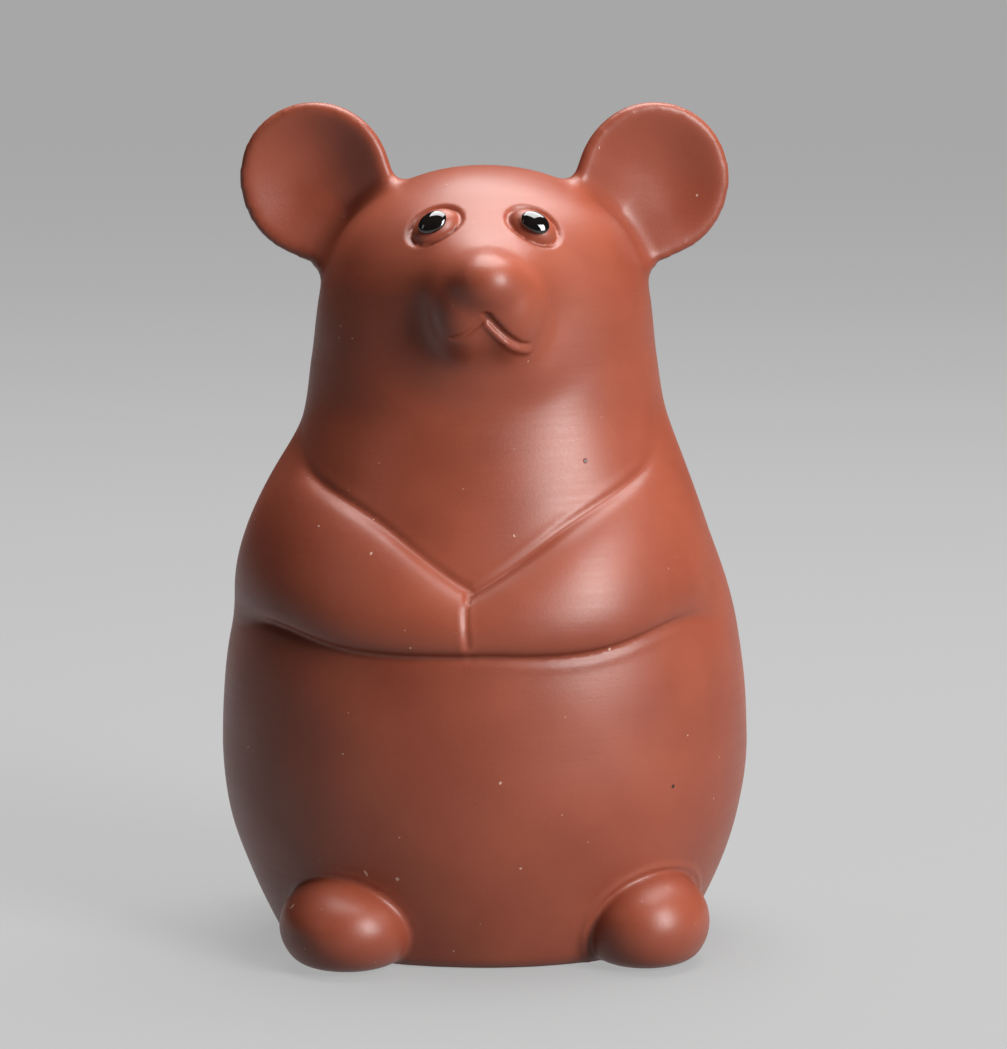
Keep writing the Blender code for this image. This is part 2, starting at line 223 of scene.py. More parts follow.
def head(points):
    """A skull with the snout and the jaw drawn out of it, as rods in a space where it is round."""
    size = HEAD_RADII.mean()
    squeeze = size / HEAD_RADII
    local = (points - HEAD_CENTRE) * squeeze
    tip = (SNOUT_TIP - HEAD_CENTRE) * squeeze
    jaw = (JAW - HEAD_CENTRE) * squeeze
    centre = np.zeros(3)
    snout = rod(local, centre, tip, size, SNOUT_TIP_RADIUS)
    chin = rod(local, centre, jaw, size, JAW_RADIUS)
    bridge = rod(local, tip, jaw, SNOUT_TIP_RADIUS, JAW_RADIUS)
    return blend(blend(snout, chin, SNOUT_SEAM), bridge, SNOUT_SEAM)


def muzzle(points):
    made = ball(points, NOSE, NOSE_RADII)
    for side in (LEFT, RIGHT):
        place = LIP_PLACE + [side * LIP_SPACING / 2, 0, 0]
        made = blend(made, ball(points, place, LIP_RADII), LIP_SEAM)
    return made


# %% [markdown]
# Each ear is a disc pressed between finger and thumb: hollow in front, domed behind, with a round
# rim that stands a little proud. It runs out into one broad stem, from the crown to the cheek.

# %% The ears
EAR_CENTRE = np.array([16.1, 1.5, 72.5])
EAR_RADIUS = 7.3
EAR_STEM, EAR_STEM_RADIUS = (-4.2, -4.6), 4.8
EAR_THICKNESS = 3.0
EAR_RIM = 1.25
EAR_DISH_DEPTH = 1.3
EAR_LIP_SEAM = 1.8
EAR_FRONT, EAR_FRONT_SEAM = EAR_RIM - 0.1, 0.5
EAR_RIM_SEAM = 0.4
EAR_SPLAY = math.radians(12)


def ear(points, side):
    local = points - EAR_CENTRE * [side, 1, 1]
    along = side * local[:, 0] * math.cos(EAR_SPLAY) + local[:, 1] * math.sin(EAR_SPLAY)
    ahead = side * local[:, 0] * math.sin(EAR_SPLAY) - local[:, 1] * math.cos(EAR_SPLAY)
    flat = np.stack([along, local[:, 2]], axis=1)
    reach = EAR_RADIUS + rod(flat, (0, 0), EAR_STEM, EAR_RADIUS, EAR_STEM_RADIUS)
    pair = np.stack([reach, ahead], axis=1)
    dome = ball(pair, (0, 0), (EAR_RADIUS, EAR_THICKNESS))
    ring = EAR_RADIUS - EAR_RIM
    rim = np.hypot(reach - ring, ahead) - EAR_RIM
    opening = ring - EAR_RIM
    bowl_radius = (opening**2 + EAR_DISH_DEPTH**2) / (2 * EAR_DISH_DEPTH)
    bowl = np.hypot(reach, ahead - (bowl_radius - EAR_DISH_DEPTH)) - bowl_radius
    solid = carve(blend(dome, rim, EAR_RIM_SEAM), EAR_FRONT - ahead, EAR_FRONT_SEAM)
    return carve(solid, bowl, EAR_LIP_SEAM)


# %% [markdown]
# The arms are rolled from a strip, laid on the chest and pressed down, so each is a fat leaf whose
# edges end in a clean crease. The leaf is written on the torso's own skin: how far round it lies,
# how high, how broad and how proud it stands. It is an oval across at the hand and forearm, and
# flattens to a mere swelling at the shoulder. The viewer's left hand ends round and laps the other.
# A modelling tool drawn along the edges leaves a groove and pushes up a fine lip beside it.

# %% The arms
HANDS_TURN = -2.8
ARM_TURNS = np.array([-3.0, 0.0, 26.0, 55.0, 85.0, 115.0])
ARM_HEIGHTS = {
    LEFT: np.array([33.1, 33.1, 36.1, 38.7, 39.9, 40.0]),
    RIGHT: np.array([33.1, 33.1, 36.1, 39.3, 41.0, 41.0]),
}
ARM_HALF_WIDTHS = np.array([2.7, 2.7, 5.6, 6.5, 8.4, 8.6])
ARM_BULGES = {
    LEFT: np.array([1.9, 1.9, 2.3, 2.2, 1.8, 0.3]),
    RIGHT: np.array([1.6, 1.7, 2.3, 1.6, 0.5, 0.2]),
}
HAND_END = {LEFT: (2.2, 2.5), RIGHT: (0.0, 3.0)}
SHOULDER_TURNS = (48, 78)
DEGREE = 0.36
GROOVE_DEPTH, GROOVE_WIDTH, GROOVE_AWAY = 0.13, 0.40, 0.2
LIP_HEIGHTS = {LEFT: 0.03, RIGHT: 0.08}
LIP_WIDTH, LIP_AWAY = 0.45, 1.1
GROOVE_START, GROOVE_FADE = (-1.5, 0.5), (48, 66)
MARK_REACH = 2.5


def arm_turn(points, side):
    """Degrees round the torso from where the hands meet, towards this arm's shoulder."""
    x, y, _ = points.T
    turn = np.degrees(np.arctan2(x, -y / TORSO_DEPTH_RATIO)) - HANDS_TURN
    return side * turn


def arm_column(values, turn):
    return smooth_value(np.stack([ARM_TURNS, values], axis=1), turn)


def arm(points, side):
    turn = arm_turn(points, side)
    half_width = arm_column(ARM_HALF_WIDTHS, turn)
    bulge = arm_column(ARM_BULGES[side], turn)
    start, length = HAND_END[side]
    lines = [
        ((points[:, 2] - arm_column(ARM_HEIGHTS[side], turn)) / half_width, half_width),
        (torso_out(points) / bulge, bulge),
        (np.maximum(start - turn, 0) / length, length * DEGREE),
    ]
    near = np.sqrt(sum(share**2 for share, _ in lines))
    slope = np.sqrt(sum((share / size) ** 2 for share, size in lines))
    aside = lines[0][0]
    oval = np.maximum(near * (near - 1) / np.maximum(slope, 1e-9), (np.abs(aside) - 1) * half_width)
    swelling = torso_out(points) - bulge * (1 - aside**2)
    swelling = swelling / np.sqrt(1 + (2 * bulge * aside / half_width) ** 2)
    swelling = np.maximum(swelling, (np.abs(aside) - 2) * half_width)
    share = ramp(turn, *SHOULDER_TURNS)
    return oval + (swelling - oval) * share


def arm_edge(points, side):
    """How far above or below the arm's edge line, and how strong the tool's mark is there."""
    turn = arm_turn(points, side)
    rise = np.abs(points[:, 2] - arm_column(ARM_HEIGHTS[side], turn))
    strength = ramp(turn, *GROOVE_START) * (1 - ramp(turn, *GROOVE_FADE))
    return rise - arm_column(ARM_HALF_WIDTHS, turn), strength


def arm_marks(points):
    """What the tool takes away, less what it pushes up."""
    marks = 0
    for side in (LEFT, RIGHT):
        edge, strength = arm_edge(points, side)
        groove = GROOVE_DEPTH * bump(edge, GROOVE_AWAY, GROOVE_WIDTH)
        lip = LIP_HEIGHTS[side] * bump(edge, LIP_AWAY, LIP_WIDTH)
        marks = marks + strength * (groove - lip)
    return marks * bump(torso_out(points), 0, MARK_REACH)


# %% [markdown]
# The feet are two pats of clay tucked under the front edge. Pressing the viewer's right one home
# has pushed up a fine lip of belly clay above it. The tail is a thin roll laid round the hips.

# %% The feet and the tail
FEET = (
    ((-12.8, -14.3, 3.8), (6.4, 7.8, 4.9)),
    ((15.1, -12.3, 3.8), (6.1, 7.6, 5.3)),
)
FOOT_LIPS = (0.05, 0.22)
FOOT_LIP_AWAY, FOOT_LIP_WIDTH = 0.75, 0.35
TAIL_STEPS = 14
TAIL_RADIUS, TAIL_TIP_RADIUS = 2.9, 1.1
TAIL_ROOT, TAIL_TIP = (180, 5.0), (126, 12.5)
TAIL_BULGE = 2.4


def feet(points):
    return np.minimum(*(ball(points, centre, radii) for centre, radii in FEET))


def foot_marks(points):
    marks = 0
    for (centre, radii), height in zip(FEET, FOOT_LIPS):
        away = ball(points, centre, radii)
        marks = marks - height * bump(away, FOOT_LIP_AWAY, FOOT_LIP_WIDTH)
    return marks * bump(torso_out(points), 0, MARK_REACH)


def tail_line():
    line = []
    for i in range(TAIL_STEPS + 1):
        t = i / TAIL_STEPS
        turn = TAIL_ROOT[0] + (TAIL_TIP[0] - TAIL_ROOT[0]) * t
        height = TAIL_ROOT[1] + (TAIL_TIP[1] - TAIL_ROOT[1]) * (1 - math.cos(math.pi * t)) / 2
        radius = TAIL_RADIUS + (TAIL_TIP_RADIUS - TAIL_RADIUS) * t
        line.append((torso_point(math.radians(-turn), height, TAIL_BULGE - radius / 2), radius))
    return line


TAIL = tail_line()


def bar(points, line):
    """Distance to rods laid end to end through (place, radius) pairs."""
    made = 99.0
    for (start, start_radius), (end, end_radius) in zip(line, line[1:]):
        made = np.minimum(made, rod(points, start, end, start_radius, end_radius))
    return made


# %% [markdown]
# Now the seams. A wide blend makes the head flow into the body. A narrow one leaves the arms and
# the feet a crease that looks pressed. The foot of the torso is rubbed flat on a board, and hand
# smoothing leaves a swell of a few hundredths of a millimetre everywhere.

# %% The whole figure without its face
HEAD_SEAM, MUZZLE_SEAM, EAR_SEAM = 2.5, 3.2, 1.9
ARM_SEAM, FOOT_SEAM, TAIL_SEAM = 0.75, 0.7, 0.9
BASE_EDGE = 1.2
SWELL_HEIGHT = 0.05
SWELLS = ((0.55, 0.30, 0.42), (-0.31, 0.62, 0.37), (0.18, -0.44, 0.71))


def swell(points):
    made = 0
    for wave in SWELLS:
        made = made + np.sin(points @ np.array(wave) + 3 * wave[0])
    return SWELL_HEIGHT * made / len(SWELLS)


def figure(points):
    made = blend(torso(points), head(points), HEAD_SEAM)
    made = blend(made, muzzle(points), MUZZLE_SEAM)
    for side in (LEFT, RIGHT):
        made = blend(made, ear(points, side), EAR_SEAM)
        made = blend(made, arm(points, side), ARM_SEAM)
    made = blend(made, feet(points), FOOT_SEAM) + arm_marks(points) + foot_marks(points)
    behind = (points[:, 1] > 0) & (points[:, 2] < TAIL_TIP[1] + 10)
    made[behind] = blend(made[behind], bar(points[behind], TAIL), TAIL_SEAM)
    made = made + swell(points)
    return carve(made, points[:, 2], BASE_EDGE)


# %% [markdown]
# The face is cut last, into skin that is already there, so its places are found by looking
# straight at the head and seeing where the look meets the clay. An eye is a pressed socket and a
# small ball of clay set in it, so that a thin groove is left round the ball. The mouth is a
# groove drawn with a point, deep at the middle and running out at the corners. The stroke to the
# viewer's right is the firmer one, and has pushed up a lip of clay below it. The same point draws
# the line between the two hands.

# %% The face
EYE_SPACING, EYE_HEIGHT = 9.3, 69.2
EYE_TILT = math.radians(30)
SOCKET_RADII = (2.85, 2.35, 1.35)
EYEBALL_RADII = (2.35, 1.80, 1.45)
EYEBALL_SINK = 0.50
EYE_SEAM, SOCKET_SEAM = 0.34, 0.45
FACE_BOTTOM, FACE_BACK = 55, -6
HANDS_FRONT, HANDS_SIDE, HANDS_MIDDLE, HANDS_SPAN = -14, 5, 33.5, 6
MOUTH_TOP = 61.4
MOUTH_SIZES = {LEFT: (3.3, 2.2), RIGHT: (3.8, 2.8)}
MOUTH_STEPS = 16
MOUTH_RADII = {LEFT: 0.24, RIGHT: 0.34}
MOUTH_END_RADIUS = 0.12
MOUTH_SEAM = 0.3
LOWER_LIP_DROP, LOWER_LIP_RADIUS, LOWER_LIP_END, LOWER_LIP_SEAM = 0.60, 0.10, 0.2, 0.8
HAND_LINE = ((-1.5, 35.7), (-1.65, 34.4), (-1.6, 33.0), (-1.5, 31.4))
HAND_LINE_RADIUS, HAND_LINE_SEAM = 0.20, 0.35
LOOK_FROM, LOOK_STEPS, LOOK_PACE = -30.0, 60, 0.8


def slope_of(surface, points):
    step = 0.01
    height = surface(points)
    slope = np.empty_like(points)
    for axis in range(3):
        aside = points.copy()
        aside[:, axis] += step
        slope[:, axis] = (surface(aside) - height) / step
    return height, slope


def seen_from_front(x, z):
    """Where a look along +Y meets the figure, and the way the clay faces there."""
    place = np.array([[x, LOOK_FROM, z]])
    for _ in range(LOOK_STEPS):
        place[:, 1] += LOOK_PACE * figure(place)
    slope = slope_of(figure, place)[1][0]
    return place[0], slope / np.linalg.norm(slope)


def eye_axes(side, out):
    """Columns: the eye's long axis, its short axis and the way it faces."""
    x, z = math.cos(EYE_TILT), -side * math.sin(EYE_TILT)
    long_axis = np.array([x, -(out[0] * x + out[2] * z) / out[1], z])
    long_axis /= np.linalg.norm(long_axis)
    return np.stack([long_axis, np.cross(out, long_axis), out], axis=1)


EYES = {}
for side in (LEFT, RIGHT):
    place, out = seen_from_front(side * EYE_SPACING / 2, EYE_HEIGHT)
    EYES[side] = (place, out, eye_axes(side, out))
    print("eye at", place.round(2), "faces", out.round(2))


def mouth_line(side, drop_more, radius_at):
    """Places along one half of the mouth, each with the radius that fits its share of the way."""
    half_width, drop = MOUTH_SIZES[side]
    line = []
    for i in range(MOUTH_STEPS + 1):
        share = i / MOUTH_STEPS
        x = SNOUT_TIP[0] + side * half_width * share
        z = MOUTH_TOP - drop * math.sin(share * math.pi / 2) - drop_more
        line.append((seen_from_front(x, z)[0], radius_at(share)))
    return line


def groove_radius(side):
    start = MOUTH_RADII[side]
    return lambda share: start + (MOUTH_END_RADIUS - start) * share**3


MOUTH = [mouth_line(side, 0, groove_radius(side)) for side in (LEFT, RIGHT)]


def lower_lip_radius(share):
    fullness = math.sin(math.pi * share)
    return LOWER_LIP_RADIUS * (LOWER_LIP_END + (1 - LOWER_LIP_END) * fullness)


LOWER_LIP = mouth_line(RIGHT, LOWER_LIP_DROP, lower_lip_radius)
HAND_MARK = [(seen_from_front(x, z)[0], HAND_LINE_RADIUS) for x, z in HAND_LINE]


def eye(points, made, side):
    place, out, axes = EYES[side]
    made = carve(made, ball(points, place, SOCKET_RADII, axes), SOCKET_SEAM)
    return blend(made, ball(points, place - EYEBALL_SINK * out, EYEBALL_RADII, axes), EYE_SEAM)


def face(points, made):
    made = blend(made, bar(points, LOWER_LIP), LOWER_LIP_SEAM)
    for line in MOUTH:
        made = carve(made, bar(points, line), MOUTH_SEAM)
    for side in (LEFT, RIGHT):
        made = eye(points, made, side)
    return made


def skin(points):
    made = figure(points)
    x, y, z = points.T
    near = (y < FACE_BACK) & (z > FACE_BOTTOM)
    made[near] = face(points[near], made[near])
    near = (y < HANDS_FRONT) & (np.abs(x) < HANDS_SIDE) & (np.abs(z - HANDS_MIDDLE) < HANDS_SPAN)
    made[near] = carve(made[near], bar(points[near], HAND_MARK), HAND_LINE_SEAM)
    return made


# %% [markdown]
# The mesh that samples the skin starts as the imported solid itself, with a plug over its vent and a
# lump of clay for each ear's stem. A voxel remesh turns that into even little squares with no hollow
# inside. Each point then slides along the slope of the formula until it lies on the skin, and is
# evened out among its neighbours in between, the way a modeller goes over clay again and again.

# %% Lay the mesh on the skin
VOXEL = 0.56
PLUG_RADIUS, PLUG_HEIGHT = 19, 3.5
LONGEST_STEP, LEAST_SLOPE = 0.4, 0.05
EVENING_ROUNDS = 5


def mesh_arrays(mesh):
    points = np.empty(len(mesh.vertices) * 3)
    mesh.vertices.foreach_get("co", points)
    edges = np.empty(len(mesh.edges) * 2, int)
    mesh.edges.foreach_get("vertices", edges)
    return points.reshape(-1, 3) / MM, edges.reshape(-1, 2)


def set_points(mesh, points):
    mesh.vertices.foreach_set("co", (points * MM).ravel())
    mesh.update()


def evaluated_copy(item, name):
    graph = bpy.context.evaluated_depsgraph_get()
    mesh = bpy.data.meshes.new_from_object(item.evaluated_get(graph))
    made = bpy.data.objects.new(name, mesh)
    bpy.context.scene.collection.objects.link(made)
    bpy.data.objects.remove(item)
    return made


def rough_block():
    form = bmesh.new()
    form.from_mesh(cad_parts["clay_body"].data)
    squash = Matrix.Diagonal((1, TORSO_DEPTH_RATIO, 1, 1))
    bmesh.ops.create_cone(
        form, cap_ends=True, segments=64, radius1=PLUG_RADIUS * MM, radius2=PLUG_RADIUS * MM,
        depth=PLUG_HEIGHT * MM, matrix=Matrix.Translation((0, 0, PLUG_HEIGHT / 2 * MM)) @ squash,
    )
    for side in (LEFT, RIGHT):
        place = EAR_CENTRE * [side, 1, 1] + [side * EAR_STEM[0], 0, EAR_STEM[1]]
        size = Matrix.Diagonal((EAR_STEM_RADIUS, EAR_THICKNESS / 2, EAR_STEM_RADIUS, 1))
        bmesh.ops.create_uvsphere(
            form, u_segments=32, v_segments=16, radius=MM,
            matrix=Matrix.Translation(place * MM) @ size,
        )
    mesh = bpy.data.meshes.new("rough")
    form.to_mesh(mesh)
    form.free()
    item = bpy.data.objects.new("rough", mesh)
    bpy.context.scene.collection.objects.link(item)
    remesh = item.modifiers.new("squares", "REMESH")
    remesh.mode = "VOXEL"
    remesh.voxel_size = VOXEL * MM
    return evaluated_copy(item, "clay_body_skin")


def settle(points, surface, rounds):
    for _ in range(rounds):
        height, slope = slope_of(surface, points)
        size = np.maximum((slope**2).sum(axis=1), LEAST_SLOPE)
        step = (height / size)[:, None] * slope
        points = points - np.clip(step, -LONGEST_STEP, LONGEST_STEP)
    return points


def even_out(points, edges, rounds):
    ends = np.concatenate([edges, edges[:, ::-1]])
    count = np.bincount(ends[:, 0], minlength=len(points))[:, None]
    for _ in range(rounds):
        total = np.stack(
            [np.bincount(ends[:, 0], points[ends[:, 1], k], len(points)) for k in range(3)], axis=1
        )
        points = (points + total / count) / 2
    return points


body = rough_block()
points, edges = mesh_arrays(body.data)
points = settle(points, skin, 2)
for _ in range(EVENING_ROUNDS):
    points = settle(even_out(points, edges, 1), skin, 1)
points = settle(points, skin, 2)
set_points(body.data, points)
print("skin:", len(points), "points, furthest from the formula", np.abs(skin(points)).max())

# %% [markdown]
# Half-millimetre squares are too coarse for a crease, an ear's rim or an eye. Those areas alone
# are divided once more, and the eyes, nose and mouth twice. The ears and the face get a last wipe
# with the sponge, which evens the points out without laying them back on the formula.

# %% Divide the fine areas
FINE_EDGE = 1.7
FINE_EYE, FINE_MOUTH, MOUTH_BELOW_NOSE = 3.6, 5.4, 3.5
FINE_ARM_END, PAST_HAND = 68, -2
HANDS_HEIGHT, HANDS_REACH, HANDS_SWEEP = 33, 4, 5
EAR_BOTTOM, EAR_INSIDE = 64.5, 8.5
FACE_FRONT, FACE_HALF_WIDTH, FACE_LOW = -8, 9, 55.5
FOOT_LOW = 0.5
SPONGE_ROUNDS = 2


def crease_area(points):
    sweep = np.abs(arm_turn(points, RIGHT))
    in_front = points[:, 1] < 0
    arms = np.zeros(len(points), bool)
    for side in (LEFT, RIGHT):
        near_edge = np.abs(arm_edge(points, side)[0]) < FINE_EDGE
        arms |= near_edge & (arm_turn(points, side) >= PAST_HAND)
    arms &= (sweep < FINE_ARM_END) & in_front
    hands = (sweep < HANDS_SWEEP) & (np.abs(points[:, 2] - HANDS_HEIGHT) < HANDS_REACH) & in_front
    foot = np.abs(feet(points)) + np.abs(torso_out(points)) < FINE_EDGE
    return arms | hands | (foot & (points[:, 2] > FOOT_LOW))


def ear_area(points):
    return (points[:, 2] > EAR_BOTTOM) & (np.abs(points[:, 0]) > EAR_INSIDE)


def face_area(points):
    front = (points[:, 1] < FACE_FRONT) & (points[:, 2] > FACE_LOW)
    return front & (np.abs(points[:, 0]) < FACE_HALF_WIDTH)


def finest_area(points):
    middle = NOSE - [0, 0, MOUTH_BELOW_NOSE]
    chosen = np.linalg.norm(points - middle, axis=1) < FINE_MOUTH
    for place, _, _ in EYES.values():
        chosen |= np.linalg.norm(points - place, axis=1) < FINE_EYE
    return chosen


def divide(mesh, areas):
    form = bmesh.new()
    form.from_mesh(mesh)
    centres = np.array([square.calc_center_median() for square in form.faces]) / MM
    chosen = np.zeros(len(centres), bool)
    for area in areas:
        chosen |= area(centres)
    squares = [square for square, wanted in zip(form.faces, chosen) if wanted]
    cut = list({edge for square in squares for edge in square.edges})
    bmesh.ops.subdivide_edges(form, edges=cut, cuts=1, use_grid_fill=True)
    bmesh.ops.triangulate(form, faces=[square for square in form.faces if len(square.verts) > 4])
    form.to_mesh(mesh)
    form.free()


for areas in ((crease_area, ear_area, face_area), (finest_area,)):
    divide(body.data, areas)
    points, edges = mesh_arrays(body.data)
    points = settle(even_out(points, edges, 1), skin, 3)
    sponged = even_out(points, edges, SPONGE_ROUNDS)
    wet = finest_area(points) | ear_area(points)
    points[wet] = sponged[wet]
    set_points(body.data, points)
body.data.calc_loop_triangles()
print("skin:", len(body.data.loop_triangles), "triangles, furthest", np.abs(skin(points)).max())

# %% [markdown]
# The mouse is hollow, because solid clay this thick would crack in the kiln, and a vent hole in
# the base lets the steam out. Neither shows in the photo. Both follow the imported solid: the
# hollow keeps an even wall, and the vent is drilled through the floor behind the middle.

# %% Hollow it and drill the vent
WALL, FLOOR = 3.8, 4.2
VENT_RADIUS, VENT_BACK = 3.5, 8.5
HOLLOW_STEPS = 14


def cutter(name, form):
    mesh = bpy.data.meshes.new(name)
    form.to_mesh(mesh)
    form.free()
    item = bpy.data.objects.new(name, mesh)
    bpy.context.scene.collection.objects.link(item)
    return item


def hollow_form():
    form = bmesh.new()
    top = TORSO_STATIONS[-1, 0] - WALL
    heights = np.linspace(top, FLOOR, HOLLOW_STEPS + 1)
    radii = torso_radius(heights) - WALL / TORSO_DEPTH_RATIO
    profile = [(0, top + WALL), *zip(radii, heights), (0, FLOOR)]
    knots = [form.verts.new((radius * MM, 0, z * MM)) for radius, z in profile]
    lines = [form.edges.new(pair) for pair in zip(knots, knots[1:])]
    bmesh.ops.spin(
        form, geom=knots + lines, angle=math.tau, steps=48, axis=(0, 0, 1), cent=(0, 0, 0),
        use_merge=True,
    )
    bmesh.ops.remove_doubles(form, verts=form.verts, dist=1e-6)
    bmesh.ops.scale(form, verts=form.verts, vec=(1, TORSO_DEPTH_RATIO, 1))
    bmesh.ops.recalc_face_normals(form, faces=form.faces)
    return form


def vent_form():
    form = bmesh.new()
    bmesh.ops.create_cone(
        form, cap_ends=True, segments=48, radius1=VENT_RADIUS * MM, radius2=VENT_RADIUS * MM,
        depth=3 * FLOOR * MM, matrix=Matrix.Translation((0, VENT_BACK * MM, 0)),
    )
    return form


cutters = [cutter("hollow", hollow_form()), cutter("vent", vent_form())]
for tool in cutters:
    cut = body.modifiers.new(tool.name, "BOOLEAN")
    cut.operation = "DIFFERENCE"
    cut.object = tool
    cut.solver = "EXACT"
body = evaluated_copy(body, "clay_body_skin")
for tool in cutters:
    bpy.data.objects.remove(tool)
body.data.shade_smooth()
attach(body, "root")
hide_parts("clay_body")
body.data.calc_loop_triangles()
print("hollowed:", len(body.data.loop_triangles), "triangles")

# %% [markdown]
# Each pupil is a drop of black glaze, laid on the eyeball where it faces the viewer. Surface
# tension domes it, so it is a low oval bead bedded a little in the clay.

# %% The pupils
PUPIL_RADII = np.array([1.40, 1.08, 0.45])
NODES = {LEFT: "left_pupil", RIGHT: "right_pupil"}


def pupil_place(side):
    """The spot of the eyeball that faces between the skin's own direction and the viewer."""
    place, out, axes = EYES[side]
    ahead = out + [0, -1, 0]
    local = (ahead / np.linalg.norm(ahead)) @ axes
    scaled = local / EYEBALL_RADII
    scaled /= np.linalg.norm(scaled)
    spot = place - EYEBALL_SINK * out + axes @ (scaled * EYEBALL_RADII)
    facing = axes @ (scaled / EYEBALL_RADII)
    return spot, facing / np.linalg.norm(facing)


pupils = []
for side, node in NODES.items():
    spot, facing = pupil_place(side)
    form = bmesh.new()
    bmesh.ops.create_uvsphere(form, u_segments=64, v_segments=32, radius=1)
    bead = cutter(node + "_bead", form)
    turn = Matrix(eye_axes(side, facing)).to_4x4()
    size = Matrix.Diagonal((*PUPIL_RADII * MM, 1))
    bead.data.transform(Matrix.Translation(spot * MM) @ turn @ size)
    bead.data.shade_smooth()
    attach(bead, "root")
    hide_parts(node)
    pupils.append(bead)
    print(node, "at", spot.round(2))

# %% [markdown]
# The clay is a red stoneware body, burnished before firing, so it is satin and not glassy: a fine
# grain breaks up every highlight, and the burnishing tool leaves faint strokes round the belly.
# Its colour drifts a little, from brick to a browner red. A few sand grains show as pale specks,
# and two have dropped out and left pits: each is dented in, with painted shade inside it. The
# underside was never burnished, so it is raw.

# %% The clay
CLAY_DARK = (0.235, 0.048, 0.024, 1)
CLAY_LIGHT = (0.31, 0.072, 0.037, 1)
CLAY_RAW = (0.36, 0.13, 0.075, 1)
CLAY_SPECK = (0.62, 0.42, 0.33, 1)
# Near black: painted shade for the inside of each pit.
PIT_PAINTED_SHADE = (0.02, 0.008, 0.006, 1)
BURNISHED_ROUGHNESS = 0.29
PALE_SPECKS = (
    ((-8.0, 9.2), 0.22),
    ((3.4, 10.5), 0.14),
    ((-6.7, 31.2), 0.12),
    ((-10.2, 42.2), 0.10),
    ((19.0, 21.8), 0.10),
)
# Where the pits are: each gets a real dent and painted shade inside it.
PITS_AND_PAINTED_SHADE = (((9.4, 47.5), 0.26), ((17.6, 17.2), 0.24))
SPOT_CORE = 0.6
PER_MM = 1000
CLOUD_SCALE, CLOUD_EDGES = 0.11, (0.35, 0.65)
GRAIN_SCALE = 4.5
STROKE_SCALES = (0.09, 0.09, 2.2)
SPECK_SCALE, SPECK_EDGES = 1.6, (0.87, 0.89)
RAW_TOP, RAW_BOTTOM = 0.5, 0.1
TONE_OF_CLOUD, TONE_OF_GRAIN = 0.6, 0.4
ROUGH_OF_GRAIN, ROUGH_OF_STROKES, ROUGH_OF_RAW = 0.14, 0.10, 0.35
HEIGHT_OF_GRAIN, HEIGHT_OF_STROKES, HEIGHT_OF_PITS = 0.009, 0.007, -0.03
RAW_SHARE, SPECK_SHARE, PIT_SHADE_SHARE = 0.7, 0.8, 0.9


def new_group(name, inputs, outputs):
    group = bpy.data.node_groups.new(name, "ShaderNodeTree")
    for title, kind in inputs:
        group.interface.new_socket(title, in_out="INPUT", socket_type=kind)
    for title, kind in outputs:
        group.interface.new_socket(title, in_out="OUTPUT", socket_type=kind)
    return group, group.nodes.new("NodeGroupInput"), group.nodes.new("NodeGroupOutput")


def maths(tree, operation, first, second):
    node = tree.nodes.new("ShaderNodeMath")
    node.operation = operation
    for socket, value in zip(node.inputs, (first, second)):
        if isinstance(value, bpy.types.NodeSocket):
            tree.links.new(value, socket)
        else:
            socket.default_value = value
    return node.outputs[0]


def noise(tree, coordinates, scale, detail, stretch=(1, 1, 1)):
    """Noise whose scale is in features a millimetre."""
    mapping = tree.nodes.new("ShaderNodeMapping")
    mapping.inputs["Scale"].default_value = [PER_MM * scale * value for value in stretch]
    node = tree.nodes.new("ShaderNodeTexNoise")
    node.inputs["Scale"].default_value = 1
    node.inputs["Detail"].default_value = detail
    tree.links.new(coordinates, mapping.inputs["Vector"])
    tree.links.new(mapping.outputs["Vector"], node.inputs["Vector"])
    return node.outputs["Fac"]


def mix_colours(tree, share, first, second):
    node = tree.nodes.new("ShaderNodeMix")
    node.data_type = "RGBA"
    for title, value in (("Factor", share), ("A", first), ("B", second)):
        socket = [s for s in node.inputs if s.name == title and s.enabled][0]
        if isinstance(value, bpy.types.NodeSocket):
            tree.links.new(value, socket)
        else:
            socket.default_value = value
    return [s for s in node.outputs if s.enabled][0]


def spread(tree, value, low, high):
    """Stretches a value so that low becomes 0 and high becomes 1."""
    node = tree.nodes.new("ShaderNodeMapRange")
    node.inputs["From Min"].default_value = low
    node.inputs["From Max"].default_value = high
    tree.links.new(value, node.inputs["Value"])
    return node.outputs["Result"]


def weighed(tree, parts):
    """The sum of values, each times its own share."""
    made = 0
    for value, share in parts:
        made = maths(tree, "ADD", made, maths(tree, "MULTIPLY", value, share))
    return made


def largest(tree, values):
    made = values[0]
    for value in values[1:]:
        made = maths(tree, "MAXIMUM", made, value)
    return made


def spots(tree, place, marks):
    """One inside each spot, given as its place on the skin and its radius in millimetres."""
    masks = []
    for (x, z), radius in marks:
        near = tree.nodes.new("ShaderNodeVectorMath")
        near.operation = "DISTANCE"
        tree.links.new(place, near.inputs[0])
        near.inputs[1].default_value = seen_from_front(x, z)[0] * MM
        core = SPOT_CORE * radius * MM
        masks.append(spread(tree, near.outputs["Value"], radius * MM, core))
    return largest(tree, masks)


